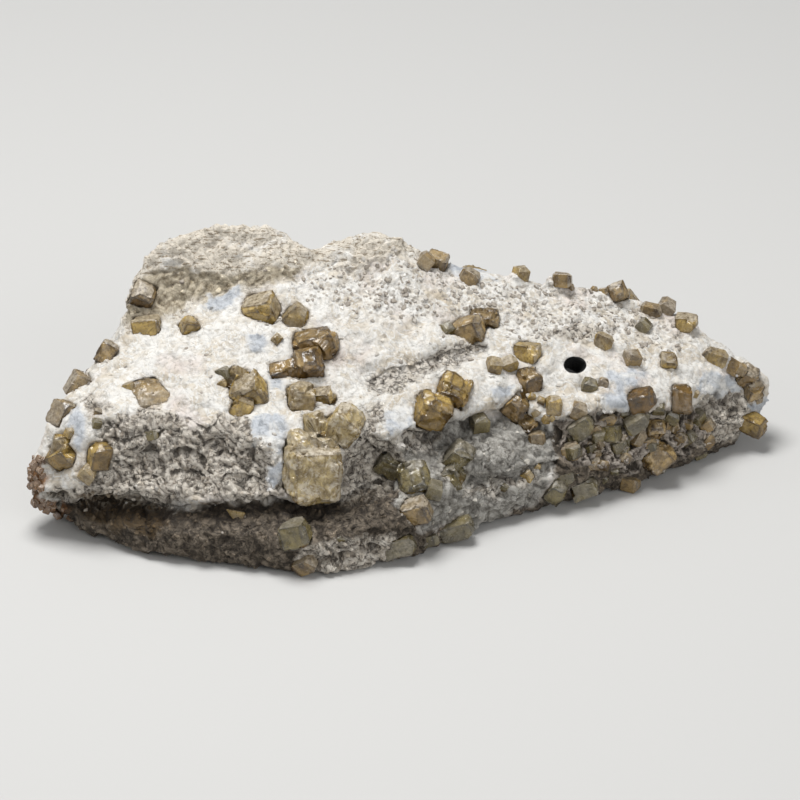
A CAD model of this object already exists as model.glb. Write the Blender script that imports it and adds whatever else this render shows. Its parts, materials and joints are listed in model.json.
# %% [markdown]
# # A hand specimen of vesuvianite
#
# Honey-brown vesuvianite crystals grew in a block of white calcite skarn. This lesson dresses the packed
# solids of that block: it makes broken rock out of a plain skin, crystals with growth steps out of plain
# prisms, and adds the small crystals and grains that solids are too coarse for.
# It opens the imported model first. Every object there is in metres, and the block rests at height 0.

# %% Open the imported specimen
import itertools
import json
import math
import random

import bmesh
import bpy
import numpy as np
from mathutils import Matrix, Vector, noise
from mathutils.bvhtree import BVHTree
from mathutils.kdtree import KDTree


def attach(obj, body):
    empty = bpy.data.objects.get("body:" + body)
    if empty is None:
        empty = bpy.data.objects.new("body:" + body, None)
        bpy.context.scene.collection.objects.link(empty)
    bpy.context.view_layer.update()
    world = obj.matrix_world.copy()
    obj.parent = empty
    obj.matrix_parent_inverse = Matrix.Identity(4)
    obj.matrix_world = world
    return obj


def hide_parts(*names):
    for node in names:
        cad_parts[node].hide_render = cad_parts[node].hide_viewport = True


MM = 0.001
# Blender's noise takes its offsets from the clock unless it gets a seed
noise.seed_set(7)
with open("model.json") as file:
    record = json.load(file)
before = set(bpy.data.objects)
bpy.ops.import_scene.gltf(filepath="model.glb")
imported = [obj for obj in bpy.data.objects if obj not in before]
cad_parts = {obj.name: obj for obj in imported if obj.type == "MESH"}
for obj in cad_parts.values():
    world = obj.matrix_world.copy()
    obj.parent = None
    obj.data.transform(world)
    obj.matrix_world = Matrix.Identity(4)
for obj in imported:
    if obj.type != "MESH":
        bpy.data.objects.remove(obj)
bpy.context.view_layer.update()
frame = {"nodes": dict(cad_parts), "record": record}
crystal_nodes = {name: node for name, node in frame["nodes"].items() if name != "matrix"}
print(len(crystal_nodes), "crystals and clusters around one block")

# %% [markdown]
# ## The photograph's frame
#
# Things on a natural block have no neat coordinates, so this lesson points at them by their pixel in the
# photograph. It needs to know where the photograph was taken from. The view is 28 degrees above level,
# from so far off that the lines of sight are almost parallel, and a pixel spans about a quarter of a
# millimetre at the block.

# %% The standpoint, and how pixels and places turn into each other
PICTURE_SIDE = 800
PIXEL = 0.243 * MM
VIEW_HEIGHT = math.radians(28)
VIEW_DISTANCE = 1500 * MM
MIDDLE = Vector((-0.848, -6.358, 26.0)) * MM
TOWARD = Vector((0, -math.cos(VIEW_HEIGHT), math.sin(VIEW_HEIGHT)))
RIGHT = Vector((1, 0, 0))
UP = TOWARD.cross(RIGHT)
EYE = MIDDLE + TOWARD * VIEW_DISTANCE


def sight(across, down):
    """The direction in which the photograph's eye looks through a pixel."""
    half = PICTURE_SIDE / 2
    aim = MIDDLE + RIGHT * (across - half) * PIXEL + UP * (half - down) * PIXEL
    return (aim - EYE).normalized()


def seat(tree, across, down):
    """Where the line of sight through a pixel first meets a surface, and the way that surface faces."""
    place = None
    while place is None:
        place, facing, _, _ = tree.ray_cast(EYE, sight(across, down))
        across += (PICTURE_SIDE / 2 - across) * 0.01
        down += (PICTURE_SIDE / 2 - down) * 0.01
    return place, facing


def pixels_of(places):
    """The pixel of each place, as two arrays."""
    from_eye = places - np.array(EYE)
    ahead = -from_eye @ np.array(TOWARD)
    scale = VIEW_DISTANCE / ahead / PIXEL
    across = PICTURE_SIDE / 2 + (from_eye @ np.array(RIGHT)) * scale
    down = PICTURE_SIDE / 2 - (from_eye @ np.array(UP)) * scale
    return across, down


print("the eye is", round(VIEW_DISTANCE / MM), "mm from the middle of the block")

# %% [markdown]
# ## The camera
#
# The camera stands where the photograph's eye stood. Its lens follows from the distance and the size of a
# pixel: a 36 mm sensor has to take in 800 pixels.

# %% Stand the camera at the eye
SENSOR = 36
lens = bpy.data.cameras.new("studio_camera")
lens.sensor_width = SENSOR
lens.lens = SENSOR * VIEW_DISTANCE / (PICTURE_SIDE * PIXEL)
lens.clip_start = 0.05
lens.clip_end = 10
camera = bpy.data.objects.new("studio_camera", lens)
bpy.context.scene.collection.objects.link(camera)
camera.location = EYE
camera.rotation_euler = TOWARD.to_track_quat("Z", "Y").to_euler()
bpy.context.scene.camera = camera
print("lens", round(lens.lens), "mm")

# %% [markdown]
# ## Helpers for meshes
#
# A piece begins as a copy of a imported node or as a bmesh. Two more helpers are needed again and again:
# one keeps what an object's modifiers make of it, and one reads a mesh's corners into an array, because
# moving a hundred thousand points one by one would be slow.

# %% Mesh helpers


def linked(name, mesh):
    """A new object in the scene."""
    thing = bpy.data.objects.new(name, mesh)
    bpy.context.scene.collection.objects.link(thing)
    return thing


def copied(node, name):
    """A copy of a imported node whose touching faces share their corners."""
    shape = bmesh.new()
    shape.from_mesh(node.data)
    bmesh.ops.remove_doubles(shape, verts=shape.verts, dist=0.002 * MM)
    mesh = bpy.data.meshes.new(name)
    shape.to_mesh(mesh)
    shape.free()
    return linked(name, mesh)


def settle(thing):
    """Keeps the shape that the modifiers give, and drops them."""
    seen = thing.evaluated_get(bpy.context.evaluated_depsgraph_get())
    mesh = bpy.data.meshes.new_from_object(seen)
    thing.modifiers.clear()
    thing.data = mesh


def voxels(thing, size):
    """Rebuilds a closed mesh from even cells."""
    cells = thing.modifiers.new("cells", "REMESH")
    cells.mode = "VOXEL"
    cells.voxel_size = size
    settle(thing)


def triangle_count(thing):
    return sum(len(face.vertices) - 2 for face in thing.data.polygons)


def thinned(thing, triangles):
    """Drops the triangles that matter least until this many are left."""
    count = triangle_count(thing)
    if count > triangles:
        thin = thing.modifiers.new("thin", "DECIMATE")
        thin.ratio = triangles / count
        settle(thing)


def corners(mesh):
    places = np.empty(len(mesh.vertices) * 3)
    mesh.vertices.foreach_get("co", places)
    return places.reshape(-1, 3)


def facings(mesh):
    normals = np.empty(len(mesh.vertices) * 3)
    mesh.vertices.foreach_get("normal", normals)
    return normals.reshape(-1, 3)


def put_corners(mesh, places):
    mesh.vertices.foreach_set("co", places.ravel())
    mesh.update()


def keep(mesh, name, values):
    """Stores one number at each corner, which a material can read by its name."""
    mesh.attributes.new(name, "FLOAT", "POINT").data.foreach_set("value", values.astype(np.float32))


def smooth(thing):
    thing.data.shade_smooth()


def smoothed(mesh, places, rounds, share=0.5):
    """The places after each has moved toward the middle of its neighbours, this many times."""
    ends = np.empty(len(mesh.edges) * 2, np.int64)
    mesh.edges.foreach_get("vertices", ends)
    first, second = ends.reshape(-1, 2).T
    count = np.bincount(ends, minlength=len(places))[:, None]
    places = places.copy()
    for _ in range(rounds):
        total = np.zeros_like(places)
        for axis in range(3):
            total[:, axis] = np.bincount(first, places[second, axis], len(places))
            total[:, axis] += np.bincount(second, places[first, axis], len(places))
        places += share * (total / count - places)
    return places


# %% [markdown]
# ## Regions of the rock
#
# The block isn't one colour. White calcite covers the shelf, the two humps are beige and finely fibrous,
# the steep face at the left is grey-brown and crumbly, smooth pale blue calcite shows in patches, small
# grains sit along the top, and olive-brown crystals glaze the hollow under the left rim. Each region is an
# outline of a few pixels, and noise frays its edge, so that it doesn't look cut out. On the sides that
# the photograph doesn't show, broad noise takes the place of outlines. One pixel marks the small dark hole
# in the shelf, and another marks the skin just above it, which tells how deep the hole's wall is.

# %% Outlines of the regions, in pixels
SOFT_EDGE = 6
CRISP_EDGE = 2.5
FRAY = 9
FINE_FRAY = 4

HUMPS = [
    [(120, 335), (126, 300), (140, 240), (185, 225), (290, 215), (330, 238), (345, 262), (300, 268),
     (268, 288), (232, 292), (206, 300), (180, 318), (150, 318)],
    [(325, 245), (345, 232), (400, 222), (426, 250), (440, 268), (414, 262), (392, 256), (350, 268),
     (330, 262)],
]
ROUGH_FACE = [
    [(100, 448), (102, 424), (122, 412), (160, 410), (190, 426), (210, 428), (220, 412), (240, 416),
     (262, 446), (286, 470), (290, 492), (250, 500), (206, 496), (160, 508), (60, 506), (50, 492),
     (84, 486), (96, 466)],
    [(82, 396), (96, 394), (104, 404), (100, 410), (86, 406)],
    [(340, 452), (366, 432), (392, 440), (404, 462), (392, 486), (372, 500), (345, 504), (336, 480)],
    [(300, 548), (345, 538), (396, 536), (404, 580), (352, 600), (296, 590)],
    [(700, 400), (722, 392), (746, 390), (764, 402), (760, 426), (730, 442), (702, 446)],
]
UNDER_BAND = [
    [(20, 512), (60, 508), (84, 498), (110, 500), (180, 508), (250, 502), (290, 500), (345, 500),
     (372, 484), (392, 462), (410, 500), (440, 512), (480, 506), (530, 500), (560, 486), (540, 440),
     (560, 418), (600, 412), (640, 416), (700, 408), (720, 398), (790, 420), (790, 470), (600, 520),
     (400, 600), (200, 600), (20, 560)],
]
SLAB = [
    [(400, 428), (440, 424), (470, 416), (540, 420), (556, 452), (540, 500), (480, 530), (420, 530),
     (396, 500), (404, 460)],
]
GLAZE = [
    [(78, 500), (90, 492), (120, 494), (152, 504), (172, 522), (150, 536), (110, 528), (84, 518)],
]
BLUE_PATCHES = [
    [(204, 302), (214, 292), (236, 290), (244, 296), (232, 304), (214, 308)],
    [(250, 338), (264, 336), (266, 350), (254, 352)],
    [(264, 374), (286, 380), (286, 396), (270, 394)],
    [(246, 424), (262, 410), (286, 414), (290, 436), (286, 450), (266, 448), (254, 438)],
    [(268, 466), (284, 454), (286, 484), (272, 486)],
    [(68, 412), (78, 404), (86, 430), (82, 454), (72, 440)],
    [(440, 268), (452, 258), (490, 270), (498, 278), (468, 282)],
    [(606, 374), (626, 368), (646, 376), (640, 386), (614, 390)],
    [(600, 398), (620, 386), (630, 402), (636, 416), (612, 410)],
    [(696, 388), (704, 374), (726, 376), (746, 386), (738, 392), (706, 394)],
    [(748, 402), (764, 396), (774, 402), (766, 416), (752, 412)],
    [(384, 416), (404, 402), (416, 408), (404, 430), (388, 432)],
    [(496, 388), (510, 384), (508, 398), (494, 406)],
]
GRAINY = [
    [(300, 275), (330, 262), (392, 252), (440, 268), (500, 278), (600, 292), (672, 318), (700, 345),
     (684, 352), (640, 346), (600, 340), (560, 336), (520, 342), (480, 316), (440, 318), (400, 320),
     (352, 312), (310, 300)],
]
PITTED = [
    [(362, 384), (392, 366), (430, 354), (478, 342), (486, 352), (450, 368), (420, 380), (376, 396)],
    [(360, 408), (384, 402), (384, 420), (372, 440), (352, 452)],
    [(400, 424), (420, 428), (440, 440), (430, 452), (398, 448)],
    [(456, 484), (480, 484), (540, 468), (536, 480), (500, 492), (466, 496)],
    [(545, 330), (580, 322), (620, 332), (600, 340), (560, 338)],
]
COMB = [
    [(556, 424), (600, 414), (690, 406), (706, 414), (704, 436), (690, 452), (640, 470), (600, 470),
     (566, 458)],
]
RUST = [
    [(18, 474), (34, 462), (46, 474), (38, 490), (40, 500), (66, 512), (56, 524), (16, 524)],
]
FOOT = [
    [(126, 300), (150, 272), (180, 268), (226, 278), (262, 268), (300, 262), (296, 276), (262, 284),
     (214, 292), (180, 306), (160, 320), (128, 326)],
]
HOLE = (575, 365)
HOLE_RADIUS = 3.1 * MM
HOLE_FLATNESS = 0.76
HOLE_REACH = 9 * MM
HOLE_BROW = (575, 345)


def each(places, measure, where=None):
    """A measure of every place, or only of those where a share isn't nothing."""
    found = np.zeros(len(places))
    chosen = np.arange(len(places)) if where is None else np.flatnonzero(where > 0.01)
    found[chosen] = [measure(Vector(place)) for place in places[chosen]]
    return found


def wobble(places, size, shift):
    """Smooth noise at each place, from -1 to 1, with waves of this size."""
    return each(places, lambda place: noise.noise(place / size + shift))


def line_distance(points, closed, across, down):
    """How many pixels each pixel is from a line, and on which side of its nearest stretch."""
    nearest = np.full(len(across), 1e9)
    side = np.zeros(len(across))
    ends = points[1:] + points[:1] if closed else points[1:]
    for (x0, y0), (x1, y1) in zip(points, ends):
        along = ((across - x0) * (x1 - x0) + (down - y0) * (y1 - y0)) / ((x1 - x0) ** 2 + (y1 - y0) ** 2)
        along = np.clip(along, 0, 1)
        gap = np.hypot(across - x0 - along * (x1 - x0), down - y0 - along * (y1 - y0))
        closer = gap < nearest
        nearest[closer] = gap[closer]
        side[closer] = ((x1 - x0) * (down - y0) - (y1 - y0) * (across - x0))[closer]
    return nearest, side


def inside(outline, across, down, soft_edge):
    """1 inside an outline of pixels and 0 outside, with a soft edge."""
    nearest, _ = line_distance(outline, True, across, down)
    within = np.zeros(len(across), bool)
    for (x0, y0), (x1, y1) in zip(outline, outline[1:] + outline[:1]):
        crosses = (y0 > down) != (y1 > down)
        level = y1 - y0 if y1 != y0 else 1
        within ^= crosses & (across < (x1 - x0) * (down - y0) / level + x0)
    return np.clip(0.5 + np.where(within, nearest, -nearest) / soft_edge, 0, 1)


def region(outlines, across, down, soft_edge):
    return np.max([inside(outline, across, down, soft_edge) for outline in outlines], axis=0)


def regions(places, normals):
    """Every region's share at each place."""
    across, down = pixels_of(places)
    frayed_across = across + FRAY * wobble(places, 4 * MM, Vector((3, 0, 0)))
    frayed_across += FINE_FRAY * wobble(places, 1.2 * MM, Vector((9, 1, 0)))
    frayed_down = down + FRAY * wobble(places, 4 * MM, Vector((0, 7, 0)))
    frayed_down += FINE_FRAY * wobble(places, 1.2 * MM, Vector((2, 8, 0)))
    seen = np.clip(0.7 + 2.2 * (normals @ np.array(TOWARD)), 0, 1)
    hidden = 1 - seen
    broad = wobble(places, 22 * MM, Vector((5, 5, 5))) + 0.5 * wobble(places, 8 * MM, Vector((1, 2, 3)))
    low = np.clip(1 - places[:, 2] / (16 * MM), 0, 1)

    def drawn(outlines, soft_edge=SOFT_EDGE):
        return region(outlines, frayed_across, frayed_down, soft_edge) * seen

    shares = {
        "beige": drawn(HUMPS) + hidden * np.clip(2 * broad, 0, 1) * 0.8,
        "rough": drawn(ROUGH_FACE) + hidden * np.clip(-2.2 * broad, 0, 1) * 0.9,
        "under": drawn(UNDER_BAND) + hidden * low * 0.8,
        "slab": drawn(SLAB),
        "glaze": drawn(GLAZE),
        "blue": drawn(BLUE_PATCHES, CRISP_EDGE) + hidden * np.clip(4 * broad - 2.4, 0, 1),
        "grainy": drawn(GRAINY) + hidden * np.clip(2.5 * broad - 0.6, 0, 1),
        "pitted": drawn(PITTED),
        "comb": drawn(COMB),
        "rust": drawn(RUST),
        "foot": drawn(FOOT),
    }
    for name in ("under", "beige", "rough", "slab", "pitted", "grainy", "foot"):
        shares[name] = shares[name] * (1 - shares["blue"])
    shares["under"] = shares["under"] * (1 - shares["slab"])
    return shares


print("regions: humps and their foot, crumbly face, lower band, slab, glaze, blue, grains, pits, comb, rust")

# %% [markdown]
# ## Broken rock
#
# Rock could be dressed with a bump map alone, but a bump doesn't change the outline and casts no shadow.
# Here the block is real geometry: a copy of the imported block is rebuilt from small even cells, softened
# a little so that its large facets go, and then each point moves in or out by noise. The whole skin also
# moves out by a third of a millimetre, which closes the gap that the solids keep around each crystal.

# %% Rebuild the block from small cells
BLOCK_CELL = 0.43 * MM
BLOCK_TRIANGLES = 194_000
SKIN = 0.33
SOFTEN_ROUNDS = 10
CLEAR_OF_CRYSTAL = 1.0 * MM
SOFTEN_WITHIN = 3.0 * MM


def joined_tree(nodes):
    """One search tree over the faces of several nodes."""
    points = []
    faces = []
    for node in nodes:
        faces += [[len(points) + corner for corner in face.vertices] for face in node.data.polygons]
        points += [vertex.co for vertex in node.data.vertices]
    return BVHTree.FromPolygons(points, faces)


def distance_to(tree, places, most):
    """How far each place is from a surface, up to a most."""
    found = np.full(len(places), most)
    for number, place in enumerate(places):
        gap = tree.find_nearest(Vector(place), most)[3]
        if gap is not None:
            found[number] = gap
    return found


def off_hole(places):
    """How far each place is from the middle line of the hole, to the right and up."""
    way = np.array(sight(*HOLE))
    from_eye = places - np.array(EYE)
    off = from_eye - (from_eye @ way)[:, None] * way
    return off @ np.array(RIGHT), off @ np.array(UP)


def distance_to_hole(places):
    return np.hypot(*off_hole(places))


block = copied(frame["nodes"]["matrix"], "rock")
voxels(block, BLOCK_CELL)
crystal_tree = joined_tree(crystal_nodes.values())
places = corners(block.data)
to_crystal = distance_to(crystal_tree, places, SOFTEN_WITHIN)
share = np.clip((to_crystal - CLEAR_OF_CRYSTAL) / (SOFTEN_WITHIN - CLEAR_OF_CRYSTAL), 0, 1)
share *= np.clip(distance_to_hole(places) / HOLE_RADIUS - 1.2, 0, 1)
soft = smoothed(block.data, places, SOFTEN_ROUNDS)
put_corners(block.data, places + share[:, None] * (soft - places))
print("block of", len(places), "points")

# %% [markdown]
# Some forms are too definite for noise: the undercut below the rim, the edges where one tier stands over
# the next, and the cracks in the crumbly face. Each is a line of pixels. Below the line the rock is set
# back by a depth that fades out downward, so the edge above it stands out and throws a shadow.

# %% Ledges and cracks
INTO_ROCK = Vector((0, 1, 0.15)).normalized()

# Each ledge: its line, how deep the rock is set back in millimetres, and the reach in pixels above and below
LEDGES = [
    ([(48, 514), (75, 502), (100, 499), (150, 504), (180, 508), (215, 505), (250, 503), (275, 498),
      (290, 502), (320, 505), (345, 498), (368, 486)], 3.6, 2, 26),
    ([(352, 420), (362, 440), (380, 452), (396, 460)], 1.6, 2, 14),
    ([(408, 434), (440, 430), (470, 421), (484, 413), (512, 405)], 1.9, 2, 16),
    ([(456, 476), (480, 482), (500, 477), (520, 470), (548, 464)], 2.4, 2, 14),
    ([(374, 380), (392, 370), (420, 364), (450, 352), (480, 347)], 1.1, 2, 9),
    ([(560, 420), (600, 416), (640, 414), (662, 414), (690, 410), (708, 396)], 2.0, 2, 16),
    ([(314, 562), (345, 552), (372, 546), (394, 549)], 1.6, 2, 10),
    ([(96, 442), (112, 438), (130, 440), (150, 436), (164, 431)], 1.2, 2, 5),
    ([(172, 452), (186, 449), (198, 454), (206, 462)], 2.0, 2, 9),
    ([(176, 472), (190, 470), (202, 474)], 1.6, 2, 7),
    ([(112, 464), (122, 462), (131, 467)], 1.8, 2, 6),
    ([(134, 478), (150, 474), (164, 480)], 1.4, 2, 6),
    ([(214, 456), (226, 452), (240, 460)], 1.4, 2, 7),
    ([(222, 478), (240, 474), (262, 480)], 1.4, 2, 6),
    ([(186, 420), (206, 430), (216, 424), (228, 412)], 1.0, 2, 5),
    ([(146, 276), (176, 272), (214, 284), (252, 280)], 0.5, 3, 8),
]


def set_back(places, normals):
    """How far each place is set back by the ledges and cracks, in millimetres."""
    across, down = pixels_of(places)
    across = across + 3 * wobble(places, 2.5 * MM, Vector((4, 4, 0)))
    down = down + 3 * wobble(places, 2.5 * MM, Vector((0, 4, 4)))
    facing = np.clip(1.5 + 3 * (normals @ np.array(TOWARD)), 0, 1)
    deepest = np.zeros(len(places))
    for line, depth, above, below in LEDGES:
        gap, side = line_distance(line, False, across, down)
        reach = np.where(side > 0, below, above)
        deepest = np.maximum(deepest, depth * np.clip(1 - gap / reach, 0, 1) * facing)
    return deepest


# %% [markdown]
# ## Room for the crystals
#
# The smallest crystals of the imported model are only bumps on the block. Each gets a crisp mesh of its own
# later, so the bump under it is pressed in here. One large crystal lies almost flush with the shelf, and
# the skin would grow over its face, so the rock around that one is lowered too.

# %% Where the bumps are, and how the rock gives way to them
# Each one: its pixel, width and length in millimetres, axis (right, up, toward the viewer) and turn
ON_BUMPS = {
    "honey": [
        ((88, 474), 3.7, 3.9, (0.6, 0.6, 0.5), 10), ((494, 366), 3.5, 4.1, (0.3, 0.8, 0.5), 20),
        ((509, 364), 3.1, 4.6, (0.9, 0.35, 0.2), 45), ((554, 406), 3.8, 4.6, (0.1, 0.95, 0.3), 10),
        ((604, 341), 3.4, 4.6, (0.9, -0.4, 0.2), 20), ((521, 274), 3.6, 3.8, (0.2, 0.9, 0.3), 30),
        ((716, 358), 3.8, 5.8, (0.95, -0.3, 0.1), 30),
    ],
    "brown": [
        ((632, 358), 3.8, 4.6, (0.2, 0.6, 0.75), 35), ((425, 262), 3.6, 4.8, (0.6, 0.8, 0.1), 10),
        ((470, 277), 3.4, 4.8, (0.8, -0.5, 0.3), 20), ((562, 280), 3.6, 4.8, (1, -0.05, 0.1), 10),
        ((651, 311), 3.2, 5.4, (0.95, -0.25, 0.1), 30), ((666, 308), 4.0, 4.8, (0.5, 0.7, 0.4), 10),
        ((735, 368), 4.0, 5.2, (0.8, -0.5, 0.3), 0), ((537, 438), 3.0, 4.2, (1, 0.1, 0.1), 20),
        ((571, 452), 3.8, 4.8, (0.9, 0.2, 0.3), 20), ((630, 483), 3.6, 5.2, (0.9, -0.2, 0.3), 30),
    ],
    "olive": [
        ((447, 329), 3.4, 3.4, (0.1, 0.5, 0.85), 45), ((589, 386), 3.4, 4.0, (0.4, 0.8, 0.5), 15),
        ((643, 327), 3.4, 4.2, (0.6, 0.6, 0.4), 0), ((480, 423), 4.0, 4.8, (0.1, 0.8, 0.6), 20),
        ((434, 490), 4.0, 4.6, (0.3, 0.8, 0.5), 10), ((636, 423), 3.6, 6.2, (0.8, 0.55, 0.1), 40),
        ((672, 417), 3.4, 4.0, (0.4, 0.7, 0.5), 10),
    ],
}
BUMP_DEPTH = 0.45
ROOM_AROUND = 0.9 * MM
PRESSED = 1.0
FLUSH_CRYSTAL = (150, 389)
FLUSH_REACH = 8.5 * MM
FLUSH_LOWERED = 0.5
FLUSH_SWELL = 0.6


def posture(axis, turn):
    """The turn of a crystal whose long axis points right, up and toward the viewer by these shares."""
    long_way = (RIGHT * axis[0] + UP * axis[1] + TOWARD * axis[2]).normalized()
    facing = TOWARD if abs(long_way.dot(TOWARD)) < 0.9 else UP
    across = facing.cross(long_way).normalized()
    stand = Matrix((across, long_way.cross(across), long_way)).transposed()
    return (stand @ Matrix.Rotation(math.radians(turn), 3, "Z")).to_4x4()


def stands_on_bumps(rows):
    """Where each of these crystals stands: its middle is behind the bump's face, along the line of sight."""
    stands = []
    for pixel, wide, length, axis, turn in rows:
        place, _ = seat(matrix_tree, *pixel)
        middle = Matrix.Translation(place + sight(*pixel) * wide * BUMP_DEPTH * MM)
        stands.append((middle @ posture(axis, turn), wide, length))
    return stands


def pressed_in(places):
    """How far each place is pressed in to make room, in millimetres."""
    pressed = np.zeros(len(places))
    for stand, wide, length in itertools.chain.from_iterable(bump_stands.values()):
        gap = np.linalg.norm(places - np.array(stand.translation), axis=1)
        reach = max(wide, length) / 2 * MM + ROOM_AROUND
        pressed = np.maximum(pressed, PRESSED * np.clip(2 - 2 * gap / reach, 0, 1))
    gap = np.linalg.norm(places - np.array(flush_face), axis=1)
    return np.maximum(pressed, FLUSH_LOWERED * np.clip(2 - 2 * gap / FLUSH_REACH, 0, 1))


matrix_tree = joined_tree([frame["nodes"]["matrix"]])
flush_face, _ = seat(crystal_tree, *FLUSH_CRYSTAL)
bump_stands = {name: stands_on_bumps(rows) for name, rows in ON_BUMPS.items()}
print("room for", sum(len(stands) for stands in bump_stands.values()), "crystals on bumps")

# %% [markdown]
# Noise of one size looks like putty. Broken rock has all sizes at once, so each region adds several. A
# Voronoi pattern gives lumps with narrow valleys between them when each cell is raised into a dome, and
# flat chips when the joints between cells are cut down. A fractal gives the sugary grain of calcite.

# %% Break the surface
FIBRE_WAY = Vector((0.8, 0.5, 0.33)).normalized()


def domes(places, size, shift, where):
    """Rounded lumps with narrow valleys between, from 0 in a valley to 1 on a crest."""
    def measure(place):
        warp = noise.noise_vector(place / size * 1.7 + shift) * 0.35
        near = noise.voronoi(place / size + shift + warp)[0][0]
        return 1 - min(1.0, near / 0.62) ** 2
    return each(places, measure, where)


def chips(places, size, shift, where):
    """Flat-sided chips: low along the joints between cells and level inside them."""
    def measure(place):
        near, far = noise.voronoi(place / size + shift)[0][:2]
        return min(far - near, 0.4) / 0.4
    return each(places, measure, where)


def ridges(places, size, shift, where):
    """Sharp-crested noise from about 0 to 1, as weathered and crumbled rock has."""
    def measure(place):
        return noise.ridged_multi_fractal(place / size + shift, 0.9, 2.1, 4, 1.0, 2.0) / 3
    return each(places, measure, where)


def sugar(places, size, shift, where=None, octaves=3):
    """Even grain."""
    return each(places, lambda place: noise.fractal(place / size + shift, 0.8, 2.2, octaves), where)


def fibres(places, where):
    """Fine lines that all run one way."""
    def measure(place):
        along = place.dot(FIBRE_WAY)
        cross = place - FIBRE_WAY * along
        return noise.fractal(cross / (0.9 * MM) + FIBRE_WAY * along / (9 * MM), 0.7, 2.0, 2)
    return each(places, measure, where)


def plates(places, size, where):
    """Steps of flat treads and sharp risers, tilted one way, as a splintery break has."""
    def measure(place):
        height = noise.noise(place / size) * 2.5 + place.dot(Vector((0.5, -0.4, 0.75))) / (2.2 * MM)
        part = height - math.floor(height)
        return part if part < 0.8 else (1 - part) * 4
    return each(places, measure, where)


def broken(places, share):
    """How far each place moves out, in millimetres."""
    plain = np.clip(1 - share["rough"] - share["beige"] - share["under"] - share["blue"], 0, 1)
    crumbly = share["rough"] + 0.75 * share["under"] + 0.3 * share["pitted"] + 0.3 * share["foot"]
    crumbly = np.clip(crumbly, 0, 1)
    move = SKIN + 0.4 * sugar(places, 9 * MM, Vector((1, 1, 1)))
    uneven = crumbly * np.clip(0.6 + wobble(places, 7 * MM, Vector((6, 6, 1))), 0.1, 1.2)
    move += uneven * 1.1 * (domes(places, 5.5 * MM, Vector((4, 0, 2)), crumbly) - 0.6)
    move += uneven * 1.1 * (chips(places, 3.6 * MM, Vector((0, 5, 1)), crumbly) - 0.7)
    move += uneven * 0.3 * (domes(places, 2.0 * MM, Vector((1, 5, 1)), crumbly) - 0.5)
    move += crumbly * 0.8 * (plates(places, 7 * MM, crumbly) - 0.5)
    move += crumbly * 0.6 * sugar(places, 3.2 * MM, Vector((3, 3, 6)), crumbly, 4)
    move -= crumbly * 1.9 * ridges(places, 7.0 * MM, Vector((8, 1, 4)), crumbly) ** 3
    flaked = np.clip(share["beige"] + 0.8 * share["slab"], 0, 1)
    move += flaked * 0.9 * (plates(places, 9 * MM, flaked) - 0.5)
    move += flaked * 0.4 * (chips(places, 6.0 * MM, Vector((2, 2, 0)), flaked) - 0.6)
    move += 0.4 * share["beige"] * fibres(places, share["beige"])
    pitted = np.clip(share["pitted"] + 0.12 * share["slab"], 0, 1)
    move -= pitted * 1.1 * ridges(places, 2.6 * MM, Vector((7, 3, 0)), pitted) ** 2
    move += share["grainy"] * 0.35 * (domes(places, 1.5 * MM, Vector((3, 1, 1)), share["grainy"]) - 0.6)
    comb = share["comb"]
    move += comb * 1.5 * (0.35 - chips(places, 4.0 * MM, Vector((6, 2, 5)), comb))
    move += comb * 0.7 * (0.5 - chips(places, 2.0 * MM, Vector((2, 5, 5)), comb))
    slab = share["slab"]
    move += slab * 0.6 * (chips(places, 3.4 * MM, Vector((2, 9, 4)), slab) - 0.7)
    move -= slab * 1.2 * ridges(places, 4.5 * MM, Vector((3, 8, 4)), slab) ** 2
    move += plain * 0.35 * (domes(places, 5.5 * MM, Vector((2, 7, 7)), plain) - 0.6)
    pits = np.clip(sugar(places, 2.4 * MM, Vector((5, 1, 8)), plain, 2) - 0.25, 0, 1)
    move -= plain * 0.9 * pits
    move += (0.24 * plain + 0.3 * crumbly + 0.2 * flaked) * sugar(places, 1.4 * MM, Vector((2, 6, 3)))
    move += 0.35 * share["blue"] * sugar(places, 3 * MM, Vector((1, 6, 6)), share["blue"], 4)
    move += 0.5 * share["blue"] * (ridges(places, 4 * MM, Vector((5, 2, 6)), share["blue"]) - 0.4)
    return move


places = corners(block.data)
normals = facings(block.data)
share = regions(places, normals)
beside_hole = np.clip(distance_to_hole(places) / HOLE_RADIUS - 1.0, 0, 1)
move = broken(places, share) * beside_hole
back = set_back(places, normals)
near_crystal = distance_to(crystal_tree, places, 1.5 * MM) / (1.5 * MM)
pressed = pressed_in(places)
move = SKIN + (move - SKIN) * near_crystal * (1 - 0.7 * np.clip(pressed, 0, 1)) - pressed
on_sole = places[:, 2] < 0.3 * MM
move[on_sole] = 0
back[on_sole] = 0
places += normals * move[:, None] * MM + np.array(INTO_ROCK) * (back * near_crystal)[:, None] * MM
places[:, 2] = np.maximum(places[:, 2], 0)
_, above_hole = off_hole(places)
squeezed = above_hole * (1 - HOLE_FLATNESS) * np.clip(2 - distance_to_hole(places) / HOLE_RADIUS, 0, 1)
places -= squeezed[:, None] * np.array(UP)
put_corners(block.data, places)
thinned(block, BLOCK_TRIANGLES)
smooth(block)
print("block moved by", round(float(move.min()), 2), "to", round(float(move.max()), 2), "mm")

# %% [markdown]
# Hollows in real rock look darker than its crests: less light reaches them, and dust and iron stain
# settle there. The material needs to know where they are. The mesh is smoothed at two scales, and where
# the smoothed surface lies above the real one, that place is a hollow.

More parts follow.
